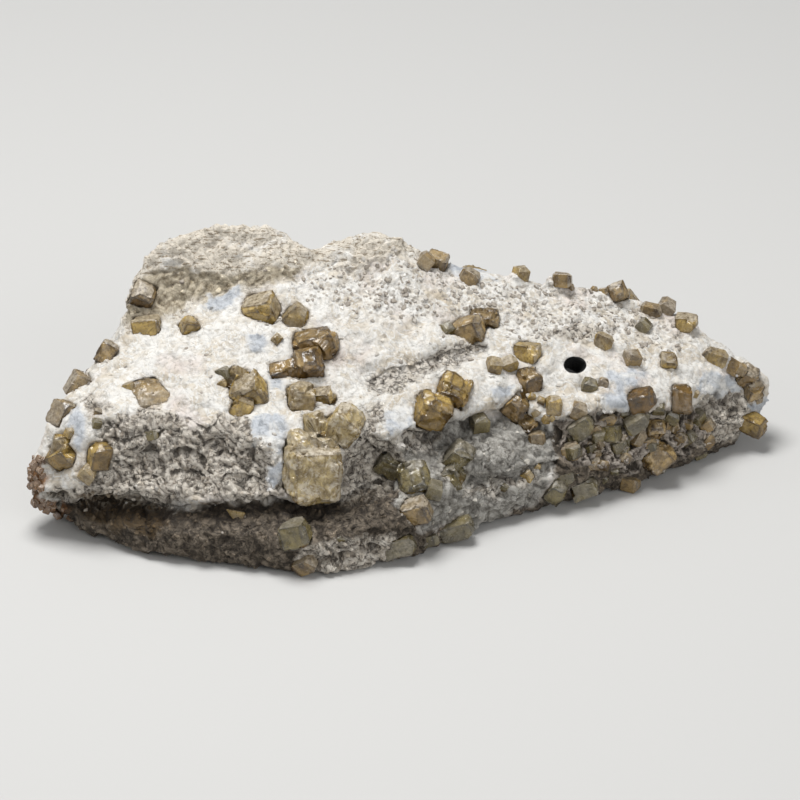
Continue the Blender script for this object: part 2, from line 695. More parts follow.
# %% Mark the hollows and the regions
places = corners(block.data)
normals = facings(block.data)
kept_shares = regions(places, normals)
near_soft = smoothed(block.data, places, 3)
far_soft = smoothed(block.data, places, 30)
kept_shares["fine_hollow"] = np.clip(((near_soft - places) * normals).sum(axis=1) / (0.09 * MM), -1, 1)
kept_shares["deep_hollow"] = np.clip(((far_soft - places) * normals).sum(axis=1) / (0.60 * MM), -1, 1)
to_crystal = distance_to(crystal_tree, places, 1.5 * MM)
kept_shares["contact"] = 1 - np.clip(to_crystal / (0.8 * MM), 0, 1)
right_of_hole, above_hole = off_hole(places)
kept_shares["dark_hole"] = 1 - np.hypot(right_of_hole, above_hole / HOLE_FLATNESS) / HOLE_RADIUS
hole_mouth = np.array(seat(matrix_tree, *HOLE_BROW)[0])
kept_shares["dark_hole"][(places - hole_mouth) @ np.array(TOWARD) < -HOLE_REACH] = -1
kept_shares["tone"] = np.full(len(places), 0.5)
kept_shares["under_ledge"] = set_back(places, normals) / 2.4
for name, values in kept_shares.items():
    keep(block.data, name, np.clip(values, -1, 1))
print("marked", ", ".join(kept_shares))

# %% [markdown]
# ## Crumbs
#
# The block alone can't be fine enough for single grains, and grains are what makes broken calcite
# sparkle and look rough. So thousands of small angular stones are set into its skin, where rock crumbles:
# many on the crumbly face and in the lower band, a fine white sugar on the shelf, and a collar around
# each crystal, where the matrix clings to it. They are real closed meshes in one piece, each half sunk.

# %% Scatter stones over the block
STONE_KINDS = 14
STONE_POINTS = 9
FLATTEN = 0.45
CRUMB_COUNT = 12_000
SUGAR_COUNT = 7_000


def stone(draw, points):
    """A stone about one unit across: its corners and its triangles. More points make it rounder."""
    shape = bmesh.new()
    for _ in range(points):
        corner = Vector([draw.gauss(0, 1) for _ in range(3)]).normalized() * draw.uniform(0.38, 0.55)
        corner.z *= 0.8
        shape.verts.new(corner)
    hull = bmesh.ops.convex_hull(shape, input=shape.verts)
    loose = [part for part in hull["geom_interior"] if isinstance(part, bmesh.types.BMVert)]
    bmesh.ops.delete(shape, geom=loose, context="VERTS")
    bmesh.ops.recalc_face_normals(shape, faces=shape.faces)
    shape.verts.index_update()
    points = np.array([vertex.co for vertex in shape.verts])
    faces = np.array([[vertex.index for vertex in face.verts] for face in shape.faces])
    shape.free()
    return points, faces


def spots_on(mesh, density, count, draws):
    """Random spots on a mesh, more of them where the density is higher."""
    mesh.calc_loop_triangles()
    trios = np.empty(len(mesh.loop_triangles) * 3, np.int64)
    mesh.loop_triangles.foreach_get("vertices", trios)
    trios = trios.reshape(-1, 3)
    points = corners(mesh)
    first, second, third = (points[trios[:, corner]] for corner in range(3))
    sides = np.cross(second - first, third - first)
    area = np.linalg.norm(sides, axis=1)
    weight = area * density[trios].mean(axis=1)
    chosen = draws.choice(len(trios), size=count, p=weight / weight.sum())
    u, v = draws.random(count), draws.random(count)
    over = u + v > 1
    u[over], v[over] = 1 - u[over], 1 - v[over]
    place = first[chosen] + u[:, None] * (second - first)[chosen] + v[:, None] * (third - first)[chosen]
    normal = sides[chosen] / area[chosen][:, None]
    return place, normal, trios[chosen, 0]


def random_turns(count, draws):
    """Random rotations, as matrices."""
    w, x, y, z = (draws.normal(size=(4, count)))
    size = np.sqrt(w * w + x * x + y * y + z * z)
    w, x, y, z = w / size, x / size, y / size, z / size
    return np.stack([
        np.stack([1 - 2 * (y * y + z * z), 2 * (x * y - z * w), 2 * (x * z + y * w)], -1),
        np.stack([2 * (x * y + z * w), 1 - 2 * (x * x + z * z), 2 * (y * z - x * w)], -1),
        np.stack([2 * (x * z - y * w), 2 * (y * z + x * w), 1 - 2 * (x * x + y * y)], -1),
    ], 1)


def scattered(name, density, count, smallest, largest, proud, seed, stone_points=STONE_POINTS):
    """One piece of many stones set into the block."""
    draws = np.random.default_rng(seed)
    draw = random.Random(seed)
    place, normal, nearest = spots_on(block.data, density, count, draws)
    size = (smallest + (largest - smallest) * draws.random(count) ** 2.2) * MM
    middle = place + normal * (size * proud)[:, None]
    turns = random_turns(count, draws)
    tone = draws.random(count)
    kinds = [stone(draw, stone_points) for _ in range(STONE_KINDS)]
    kind_of = draws.integers(0, STONE_KINDS, count)
    points, faces, owner, crest = [], [], [], []
    start = 0
    for kind, (shape, triangles) in enumerate(kinds):
        mine = np.flatnonzero(kind_of == kind)
        turned = np.einsum("nij,kj->nki", turns[mine], shape) * size[mine][:, None, None]
        outward = np.einsum("nki,ni->nk", turned, normal[mine])
        turned -= FLATTEN * outward[:, :, None] * normal[mine][:, None, :]
        crest.append((outward / size[mine][:, None]).ravel())
        turned += middle[mine][:, None, :]
        points.append(turned.reshape(-1, 3))
        shifts = start + np.arange(len(mine)) * len(shape)
        faces.append((triangles[None] + shifts[:, None, None]).reshape(-1, 3))
        owner.append(np.repeat(mine, len(shape)))
        start += len(mine) * len(shape)
    points, faces, owner = np.concatenate(points), np.concatenate(faces), np.concatenate(owner)
    points[:, 2] = np.maximum(points[:, 2], 0.02 * MM)
    mesh = bpy.data.meshes.new(name)
    mesh.from_pydata(points, [], faces.tolist())
    thing = linked(name, mesh)
    for kept_name, values in kept_shares.items():
        keep(mesh, kept_name, np.clip(values[nearest][owner], -1, 1))
    mesh.attributes["tone"].data.foreach_set("value", tone[owner].astype(np.float32))
    keep(mesh, "crest", np.concatenate(crest))
    mesh.attributes["fine_hollow"].data.foreach_set("value", np.full(len(points), -0.2, np.float32))
    return thing


up_here = np.clip(places[:, 2] / (1.0 * MM), 0, 1) * np.clip(1.2 + 2 * normals[:, 2], 0.0, 1)
no_hole = np.clip(-8 * kept_shares["dark_hole"], 0, 1)
crumbly = kept_shares["rough"] + 0.8 * kept_shares["under"] + 0.5 * kept_shares["pitted"]
crumbly += 0.3 * kept_shares["foot"]
crumb_density = 0.03 + 0.8 * crumbly + 0.06 * kept_shares["beige"] + 0.2 * kept_shares["slab"]
crumb_density = (crumb_density * (1 - kept_shares["blue"]) + 0.8 * kept_shares["contact"]) * up_here * no_hole
sugar_bare = crumbly + kept_shares["blue"] + 0.5 * kept_shares["beige"] + 0.7 * kept_shares["grainy"]
sugar_density = np.clip(1 - sugar_bare, 0, 1) * up_here
crumbs = scattered("rock_crumbs", crumb_density, CRUMB_COUNT, 0.35, 2.0, -0.02, 11)
white_sugar = scattered("calcite_sugar", sugar_density * no_hole, SUGAR_COUNT, 0.35, 1.1, -0.12, 12)
print(len(crumbs.data.polygons), "triangles of crumbs and", len(white_sugar.data.polygons), "of sugar")

# %% [markdown]
# ## The rock's finish
#
# One material covers the block, because the real rock changes from one part to the next with no joint.
# It mixes plain colours by the regions kept in the mesh, mottles each with noise, darkens the hollows,
# and adds a bump for the grain that is too fine for geometry. Small helpers keep the node code short.

# %% Node helpers


def feed(tree, socket, value):
    """Gives a socket a value: a number, red, green and blue, or what another node gives."""
    if isinstance(value, Value):
        tree.links.new(value.socket, socket)
    elif isinstance(value, tuple):
        socket.default_value = (*value, 1)
    else:
        socket.default_value = value


class Value:
    """What a node gives. Plus, minus and times add the node that works them out."""

    def __init__(self, tree, socket):
        self.tree = tree
        self.socket = socket

    def worked(self, kind, other=0):
        node = self.tree.nodes.new("ShaderNodeMath")
        node.operation = kind
        feed(self.tree, node.inputs[0], self)
        feed(self.tree, node.inputs[1], other)
        return Value(self.tree, node.outputs["Value"])

    def __add__(self, other):
        return self.worked("ADD", other)

    def __sub__(self, other):
        return self.worked("SUBTRACT", other)

    def __mul__(self, other):
        return self.worked("MULTIPLY", other)

    def larger(self, other):
        return self.worked("MAXIMUM", other)

    def between(self, low, high):
        """0 below low, 1 above high, and a straight slope between."""
        node = self.tree.nodes.new("ShaderNodeMapRange")
        node.inputs["From Min"].default_value = low
        node.inputs["From Max"].default_value = high
        feed(self.tree, node.inputs["Value"], self)
        return Value(self.tree, node.outputs["Result"])


class Finish:
    """A material in the making. Sizes are in millimetres."""

    def __init__(self, name):
        self.material = bpy.data.materials.new(name)
        self.material.use_nodes = True
        self.tree = self.material.node_tree
        self.shader = self.tree.nodes["Principled BSDF"]

    def set(self, **values):
        """Sets the shader's sockets by name."""
        for name, value in values.items():
            feed(self.tree, self.shader.inputs[name.replace("_", " ")], value)

    def node(self, kind, **values):
        node = self.tree.nodes.new("ShaderNode" + kind)
        for name, value in values.items():
            feed(self.tree, node.inputs[name], value)
        return node

    def place(self):
        """The point's own place, so that a pattern is fixed in the rock."""
        return Value(self.tree, self.node("TexCoord").outputs["Object"])

    def kept(self, name):
        """A number that the mesh keeps at its corners."""
        node = self.node("Attribute")
        node.attribute_name = name
        return Value(self.tree, node.outputs["Fac"])

    def speckle(self, size, detail=4, rough=0.6, warp=0.0):
        """Noise whose waves are this long."""
        node = self.node("TexNoise", Vector=self.place(), Scale=1 / (size * MM), Detail=detail,
                         Roughness=rough, Distortion=warp)
        return Value(self.tree, node.outputs["Fac"])

    def cells(self, size):
        """How far each point is from the middle of its Voronoi cell. The cells are this wide."""
        node = self.node("TexVoronoi", Vector=self.place(), Scale=1 / (size * MM))
        return Value(self.tree, node.outputs["Distance"])

    def streaks(self, wide, long, turn):
        """Noise drawn out into strokes, this wide and long."""
        way = self.node("Mapping", Vector=self.place())
        way.inputs["Rotation"].default_value = (0, 0.5, turn)
        way.inputs["Scale"].default_value = (1 / (long * MM), 1 / (wide * MM), 1 / (wide * MM))
        strokes = Value(self.tree, way.outputs["Vector"])
        return Value(self.tree, self.node("TexNoise", Vector=strokes, Scale=1, Detail=3).outputs["Fac"])

    def crackle(self, size, wide, warp=0.8):
        """1 on thin crooked lines and 0 between them."""
        return (self.speckle(size, 4, 0.6, warp) - 0.5).worked("ABSOLUTE").between(wide, wide * 0.3)

    def mixed(self, share, first, second, kind="MIX"):
        """Two colours mixed by a share."""
        node = self.node("Mix")
        node.data_type = "RGBA"
        node.blend_type = kind
        for number, value in ((0, share), (6, first), (7, second)):
            feed(self.tree, node.inputs[number], value)
        return Value(self.tree, node.outputs[2])

    def raise_relief(self, height, distance):
        """Raises fine relief, its full height in millimetres, without geometry."""
        node = self.node("Bump", Strength=1, Distance=distance * MM, Height=height)
        self.set(Normal=Value(self.tree, node.outputs["Normal"]))


# %% Mix the rock's finish
WHITE = (0.66, 0.645, 0.61)
CREAM = (0.50, 0.435, 0.34)
PINKISH = (0.59, 0.525, 0.48)
SUGAR_SHADE = (0.42, 0.37, 0.30)
BEIGE = (0.585, 0.535, 0.455)
BEIGE_DARK = (0.27, 0.225, 0.165)
FOOT_LIGHT = (0.50, 0.44, 0.335)
FOOT_DARK = (0.17, 0.135, 0.085)
GREY_LIGHT = (0.56, 0.515, 0.45)
GREY = (0.34, 0.30, 0.25)
CREVICE = (0.035, 0.028, 0.022)
CREST = (0.13, 0.12, 0.10)
UNDER_LIGHT = (0.225, 0.185, 0.14)
UNDER_DARK = (0.050, 0.039, 0.028)
SLAB_LIGHT = (0.40, 0.385, 0.35)
SLAB_DARK = (0.13, 0.12, 0.102)
GLAZE_BROWN = (0.075, 0.048, 0.020)
BLUE_LIGHT = (0.475, 0.495, 0.52)
BLUE_DEEP = (0.33, 0.35, 0.375)
COMB_PINK = (0.33, 0.285, 0.245)
COMB_DARK = (0.07, 0.056, 0.042)
RUST_LIGHT = (0.32, 0.17, 0.08)
RUST_DARK = (0.14, 0.06, 0.02)
GRAIN_GREY = (0.30, 0.27, 0.23)
BLUE_DIMMED = (0.36, 0.35, 0.34)
SOOT = (0.40, 0.37, 0.33)
CRUMB_LIGHTER = (1.0, 0.97, 0.92)
CRUMB_DARKER = (0.66, 0.63, 0.59)
HOLE_BLACK = (0.004, 0.004, 0.004)


def rock_finish():
    """White calcite, mixed by region into every other colour of the block."""
    rock = Finish("calcite_skarn")
    mixed, kept = rock.mixed, rock.kept
    broad = rock.speckle(7, 5, 0.62, 0.6)
    middle = rock.speckle(2.2, 6, 0.68, 0.5)
    fine = rock.speckle(0.8, 6, 0.75)
    lace = rock.crackle(3.4, 0.045)
    shelf = mixed((broad.between(0.40, 0.66) - lace).larger(0), WHITE, CREAM)
    shelf = mixed(rock.speckle(12, 3, 0.5).between(0.56, 0.75), shelf, PINKISH)
    pores = middle.between(0.50, 0.36) * fine.between(0.60, 0.42)
    shelf = mixed(pores * 0.75, shelf, SUGAR_SHADE)
    grains = rock.cells(1.5).between(0.34, 0.22) * kept("grainy").between(0.2, 0.9)
    shelf = mixed(grains * 0.8, shelf, GRAIN_GREY)
    hump = mixed(rock.speckle(1.5, 6, 0.74, 2.2).between(0.35, 0.47), BEIGE_DARK, BEIGE)
    hump = mixed(broad.between(0.50, 0.68), hump, WHITE)
    for turn in (0.4, 1.9):
        hump = mixed(rock.streaks(0.55, 3.4, turn).between(0.41, 0.36), hump, BEIGE_DARK)
    face = mixed(middle.between(0.40, 0.60), GREY, GREY_LIGHT)
    band = mixed(middle.between(0.40, 0.66), UNDER_DARK, UNDER_LIGHT)
    slab = mixed(middle.between(0.36, 0.60), SLAB_DARK, SLAB_LIGHT)
    foot = mixed(middle.between(0.36, 0.58), FOOT_DARK, FOOT_LIGHT)
    rust = mixed(middle.between(0.38, 0.60), RUST_DARK, RUST_LIGHT)
    comb = mixed((middle + kept("deep_hollow") * -0.30).between(0.34, 0.62), COMB_DARK, COMB_PINK)
    blue = mixed(middle.between(0.38, 0.52), BLUE_DEEP, BLUE_LIGHT)
    blue = mixed(broad.between(0.50, 0.66), blue, WHITE)
    dim_blue = mixed(1.0, blue, BLUE_DIMMED, "MULTIPLY")
    blue = mixed(kept("under_ledge").between(0.05, 0.4), blue, dim_blue)
    colour = shelf
    for region_name, share, own in (
        ("under", 1, band), ("slab", 1, slab), ("rough", 1, face), ("beige", 1, hump), ("foot", 1, foot),
        ("pitted", 0.8, face), ("blue", 1, blue), ("comb", 1, comb), ("glaze", 0.9, GLAZE_BROWN),
    ):
        colour = mixed(kept(region_name) * share, colour, own)
    soot = mixed(1.0, colour, SOOT, "MULTIPLY")
    colour = mixed(kept("under_ledge").between(0.0, 1.0) * kept("under"), colour, soot)
    colour = mixed(kept("rust"), colour, rust)
    crumb_tone = kept("tone").between(0.0, 1.0)
    lighter = mixed(1.0, colour, CRUMB_LIGHTER, "SOFT_LIGHT")
    darker = mixed(1.0, colour, CRUMB_DARKER, "MULTIPLY")
    colour = mixed(crumb_tone.between(0.5, 1.0), colour, lighter)
    colour = mixed(crumb_tone.between(0.5, 0.0), colour, darker)
    soiled = kept("rough") + kept("under") + kept("pitted") + kept("slab") * 0.3
    soiled = soiled.between(-0.45, 1.0)
    nooks = kept("fine_hollow").between(0.25, 1.2) * 0.8
    nooks = nooks.larger(kept("deep_hollow").between(0.5, 1.3))
    colour = mixed(nooks * soiled, colour, CREVICE)
    pits = middle.between(0.36, 0.31) * 0.6
    cracks = pits.larger(rock.crackle(4.2, 0.018)) * soiled
    colour = mixed(cracks * 0.7, colour, CREVICE)
    stony = kept("rough").larger(kept("pitted")).larger(kept("comb"))
    colour = mixed(kept("fine_hollow").between(-0.2, -0.9) * stony, colour, CREST, "SCREEN")
    colour = mixed(kept("contact") * 0.35, colour, SUGAR_SHADE)
    colour = mixed(kept("dark_hole").between(0.08, 0.12), colour, HOLE_BLACK)
    rock.set(Base_Color=colour, Roughness=0.80, Specular_IOR_Level=0.35)
    relief = middle - rock.cells(1.3) * 0.5 - cracks * 0.3 + lace * 0.10
    rock.raise_relief(relief * soiled.between(-0.5, 1.0), 0.80)
    return rock.material


def dressed(thing, finish):
    """Gives a piece its only material, and names what it rides on."""
    thing.data.materials.clear()
    thing.data.materials.append(finish)
    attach(thing, "root")


skarn_finish = rock_finish()
for piece in (block, crumbs, white_sugar):
    dressed(piece, skarn_finish)
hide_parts("matrix")
rock_tree = BVHTree.FromObject(block, bpy.context.evaluated_depsgraph_get())
print("rock of", triangle_count(block), "triangles")

# %% [markdown]
# ## Crystals
#
# Vesuvianite is tetragonal: it grows square prisms, capped by low pyramids or a flat face. The packed
# solids have those faces, but real ones are never perfect: corners are chipped, and faces carry shallow
# growth steps and pits. A voxel remesh would round every edge, so after it each point goes back to the
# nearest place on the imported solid, and points beside an edge go onto that edge. What is left is a fine
# mesh with crisp edges, which can then be chipped and stepped.

# %% Chip and step each crystal
CRYSTAL_CELL = 0.25 * MM
SHARP = math.radians(18)
EDGE_SPACING = 0.08 * MM
ONTO_EDGE = 0.55
EDGE_FADE = 0.6 * MM
EDGE_WORN = 0.8 * MM
BIG_CRYSTAL = 9 * MM
TERRACE = 0.10
CRYSTAL_SHARE = 0.40
FEWEST_TRIANGLES = 600
CORNERS_PER_CHIP = 4
ABOVE_FLOOR = 0.02 * MM
SAME_SPOT = 0.01 * MM

# Crystals that are cleaner or dustier than most: a pixel on each, and its share of the usual dust
DUSTINESS = [
    ((641, 398), 0.0), ((679, 398), 0.0), ((318, 344), 0.15), ((88, 444), 0.3), ((100, 455), 0.3),
    ((150, 389), 0.75), ((526, 372), 0.3), ((455, 330), 0.8), ((657, 457), 0.3), ((752, 420), 0.3),
    ((430, 410), 0.2), ((452, 393), 1.1),
]
WEATHERED_CRYSTAL = (312, 478)
WEATHERED_SWELLS = 0.7
dusty_spots = [(seat(crystal_tree, *pixel)[0], share) for pixel, share in DUSTINESS]
weathered_face, _ = seat(crystal_tree, *WEATHERED_CRYSTAL)


def holds(faces, spot):
    """Whether a spot found on the crystals lies on this one."""
    return faces.find_nearest(spot)[3] < SAME_SPOT


def sharp_edges(thing):
    """Points along every edge where two faces meet at an angle."""
    shape = bmesh.new()
    shape.from_mesh(thing.data)
    points = []
    for edge in shape.edges:
        if len(edge.link_faces) == 2 and edge.calc_face_angle() > SHARP:
            start, end = (vertex.co for vertex in edge.verts)
            count = max(1, round((end - start).length / EDGE_SPACING))
            points += [start.lerp(end, step / count) for step in range(count + 1)]
    shape.free()
    tree = KDTree(len(points))
    for number, point in enumerate(points):
        tree.insert(point, number)
    tree.balance()
    return tree


def face_dust(facing, draw):
    """How dusty a crystal's face is: faces that look up gather more, and luck does the rest."""
    return min(1, max(0, 0.12 + 0.55 * draw.random() + 0.40 * facing.z))


def terrace(place, facing, shift):
    """Raised plates on a crystal's face, in steps of one."""
    across = facing.orthogonal().normalized()
    up = facing.cross(across)
    flat = Vector((place.dot(across), place.dot(up), 0)) / (2.2 * MM) + shift
    height = noise.noise(flat) * 3 + noise.noise(flat * 2.3) * 1.2
    part = height - math.floor(height)
    return math.floor(height) + min(1, part * 5)


def chipped(places, solid, draw):
    """The places after a few corners of the crystal have been struck off flat."""
    points = [vertex.co for vertex in solid.vertices]
    middle = sum(points, Vector()) / len(points)
    for corner in draw.sample(points, max(1, len(points) // CORNERS_PER_CHIP)):
        outward = (corner - middle).normalized()
        outward += Vector([draw.uniform(-0.5, 0.5) for _ in range(3)])
        outward.normalize()
        level = corner.dot(outward) - draw.uniform(0.3, 0.9) * MM
        over = places @ np.array(outward) - level
        reach = np.linalg.norm(places - np.array(corner), axis=1) < 2.6 * MM
        over = np.where(reach, np.clip(over, 0, None), 0)
        places = places - over[:, None] * np.array(outward)
    return places


def grown(node, seed):
    """A crystal or cluster with crisp edges, chipped corners and growth steps."""
    name = node.name.replace("crystal", "vesuvianite").replace("cluster", "vesuvianites")
    thing = copied(node, name)
    draw = random.Random(seed)
    edges = sharp_edges(thing)
    faces = BVHTree.FromObject(thing, bpy.context.evaluated_depsgraph_get())
    facing_of = [face.normal.copy() for face in thing.data.polygons]
    dustiness = next((share for spot, share in dusty_spots if holds(faces, spot)), 1)
    dust = [dustiness * face_dust(facing, draw) for facing in facing_of]
    for number, facing in enumerate(facing_of):
        for earlier in range(number):
            if facing.dot(facing_of[earlier]) > 0.995:
                dust[number] = dust[earlier]
                break
    big = min(1.6, max(thing.dimensions) / BIG_CRYSTAL)
    step = TERRACE * min(1.5, max(0.8, big))
    weathered = holds(faces, weathered_face)
    uneven = WEATHERED_SWELLS if weathered else 0.6 * max(0, big - 1)
    swell = FLUSH_SWELL if holds(faces, flush_face) else 0.0
    solid = thing.data
    voxels(thing, CRYSTAL_CELL)
    places = corners(thing.data)
    raised = np.zeros(len(places))
    shift = Vector((seed * 3.7, seed * 1.3, 0))
    for number, place in enumerate(places):
        near, _, face, _ = faces.find_nearest(Vector(place))
        edge, _, gap = edges.find(near)
        if gap < ONTO_EDGE * CRYSTAL_CELL:
            near = edge
        places[number] = near
        fade = min(1, gap / EDGE_FADE) ** 2
        pit = min(0, noise.noise(near / (1.1 * MM) + shift) + 0.35) * 0.4
        raised[number] = fade * (step * terrace(near, facing_of[face], shift) + pit * big)
        raised[number] += 0.16 * big * noise.noise(near / (3.2 * MM) + shift) + swell
        worn = max(0, noise.noise(near / (1.3 * MM) + shift * 2) - 0.05) * (1 - min(1, gap / EDGE_WORN))
        raised[number] -= 0.7 * big * worn
        raised[number] += uneven * noise.noise(near / (5.5 * MM) - shift)
    places = chipped(places, solid, draw)
    put_corners(thing.data, places)
    normals = facings(thing.data)
    places = places + normals * raised[:, None] * MM
    places[:, 2] = np.maximum(places[:, 2], ABOVE_FLOOR)
    put_corners(thing.data, places)
    thinned(thing, max(FEWEST_TRIANGLES, round(triangle_count(thing) * CRYSTAL_SHARE)))
    places = corners(thing.data)
    to_edge = np.array([edges.find(Vector(place))[2] for place in places])
    to_rock = np.array([rock_tree.find_nearest(Vector(place))[3] for place in places])
    keep(thing.data, "to_edge", np.clip(to_edge / (1.2 * MM), 0, 1))
    keep(thing.data, "to_rock", np.clip(to_rock / (1.0 * MM), 0, 1))
    keep(thing.data, "weathered", np.full(len(places), float(weathered)))
    dust_of_faces = [dust[faces.find_nearest(face.center)[2]] for face in thing.data.polygons]
    thing.data.attributes.new("face_dust", "FLOAT", "FACE").data.foreach_set("value", dust_of_faces)
    smooth(thing)
    thing.data.set_sharp_from_angle(angle=math.radians(32))
    return thing


# %% [markdown]
# ## The crystals' finish
#
# Vesuvianite is resinous and translucent: light enters, turns amber and comes out again. Some faces of a
# crystal are clear and glow yellow, and others are dusted with pale matrix and look grey-brown. So each
# flat face keeps a number of its own, which the finish turns into more or less dust. Part of the light
# passes through, and pale matrix clings where a crystal meets the rock. The largest crystal is weathered,
# so its faces swell and sink a little, and it gets pale patches and dark stains.

# %% Mix the crystals' finishes
SEAM = (0.05, 0.035, 0.018)
AMBER = (0.24, 0.118, 0.013)
CRYSTAL_COLOURS = {
    "honey": {"deep": (0.10, 0.058, 0.014), "clear": (0.72, 0.505, 0.155), "dusty": (0.52, 0.44, 0.305)},
    "brown": {"deep": (0.065, 0.040, 0.017), "clear": (0.50, 0.345, 0.14), "dusty": (0.46, 0.39, 0.285)},
    "olive": {"deep": (0.050, 0.040, 0.018), "clear": (0.30, 0.24, 0.095), "dusty": (0.28, 0.25, 0.19)},
    "pale": {"deep": (0.15, 0.10, 0.035), "clear": (0.66, 0.515, 0.235), "dusty": (0.60, 0.535, 0.42)},
    "rust": {"deep": (0.10, 0.05, 0.022), "clear": (0.30, 0.165, 0.07), "dusty": (0.33, 0.24, 0.165)},
}
THROUGH = {"honey": 0.22, "brown": 0.14, "olive": 0.14, "pale": 0.10, "rust": 0.10}


def crystal_finish(name):
    """Clouded amber, greyer where a face is dusty, with matrix clinging at the foot."""
    deep, clear, pale = (CRYSTAL_COLOURS[name][kind] for kind in ("deep", "clear", "dusty"))
    crystal = Finish(name + "_vesuvianite_finish")
    mixed, kept, speckle = crystal.mixed, crystal.kept, crystal.speckle
    clouds = speckle(3.2, 5, 0.6, 0.3).between(0.36, 0.64)
    face_tone = (kept("face_dust") * 7.3).worked("FRACT")
    frame_of_face = kept("to_edge").between(0.50, 0.10) * 0.45
    depth = (clouds * 0.62 + face_tone * 0.38 - frame_of_face).between(0.0, 1.0)
    clean = kept("face_dust").between(0.17, 0.0) * 0.9
    body = mixed(depth, deep, mixed(clean, clear, AMBER))
    body = mixed(speckle(1.1, 4, 0.7).between(0.42, 0.34) * 0.35, body, deep)
    body = mixed(crystal.crackle(3.6, 0.022) * 0.55, body, deep)
    dusty = mixed(speckle(0.9, 5, 0.7).between(0.35, 0.62), deep, pale)
    drifts = (speckle(2.8, 4, 0.6) + speckle(6.5, 3, 0.6, 0.5)) * 0.65
    dust = (kept("face_dust") + drifts).between(1.05, 1.56)
    colour = mixed(dust, body, dusty)
    patches = speckle(3.4, 6, 0.72, 1.0).between(0.50, 0.57) * kept("weathered")
    colour = mixed(patches * 0.65, colour, pale)
    stains = speckle(2.6, 6, 0.75, 1.4).between(0.45, 0.38) * kept("weathered")
    colour = mixed(stains * 0.6, colour, deep)
    flecks = speckle(0.5, 4, 0.75).between(0.585, 0.66) * 0.55 * kept("face_dust").between(-0.03, 0.25)
    colour = mixed(flecks, colour, CREAM)
    worn = kept("to_edge").between(0.10, 0.0) * clouds * 0.6
    colour = mixed(worn, colour, pale)
    clinging = kept("to_rock") + speckle(1.0, 5, 0.7)
    colour = mixed(clinging.between(0.66, 0.56), colour, CREAM)
    colour = mixed(kept("to_rock").between(0.30, 0.0) * 0.8, colour, SEAM)
    gloss = dust * 0.24 + 0.13 + speckle(1.2, 3) * 0.16
    crystal.set(Base_Color=colour, Roughness=gloss, IOR=1.71, Transmission_Weight=THROUGH[name])
    crystal.raise_relief(speckle(1.0, 6, 0.68), 0.15)
    return crystal.material


finishes = {name: crystal_finish(name) for name in CRYSTAL_COLOURS}

# %% Grow them all
slot_of = {part["node"]: part["material_slot"] for part in frame["record"]["subparts"]}
grown_total = 0
for seed, (name, node) in enumerate(sorted(crystal_nodes.items())):
    crystal = grown(node, seed)
    dressed(crystal, finishes[slot_of[name].split("_")[0]])
    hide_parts(name)
    grown_total += triangle_count(crystal)
print("crystals of", grown_total, "triangles")

# %% [markdown]
# ## Small crystals
#
# Between the large crystals sit smaller ones, down to a millimetre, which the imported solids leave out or
# show only as bumps on the block. Each is a square prism with a cut-off pyramid, its corners a little
# uneven, seated where the line of sight through its pixel meets the rock. All of one colour are one mesh.

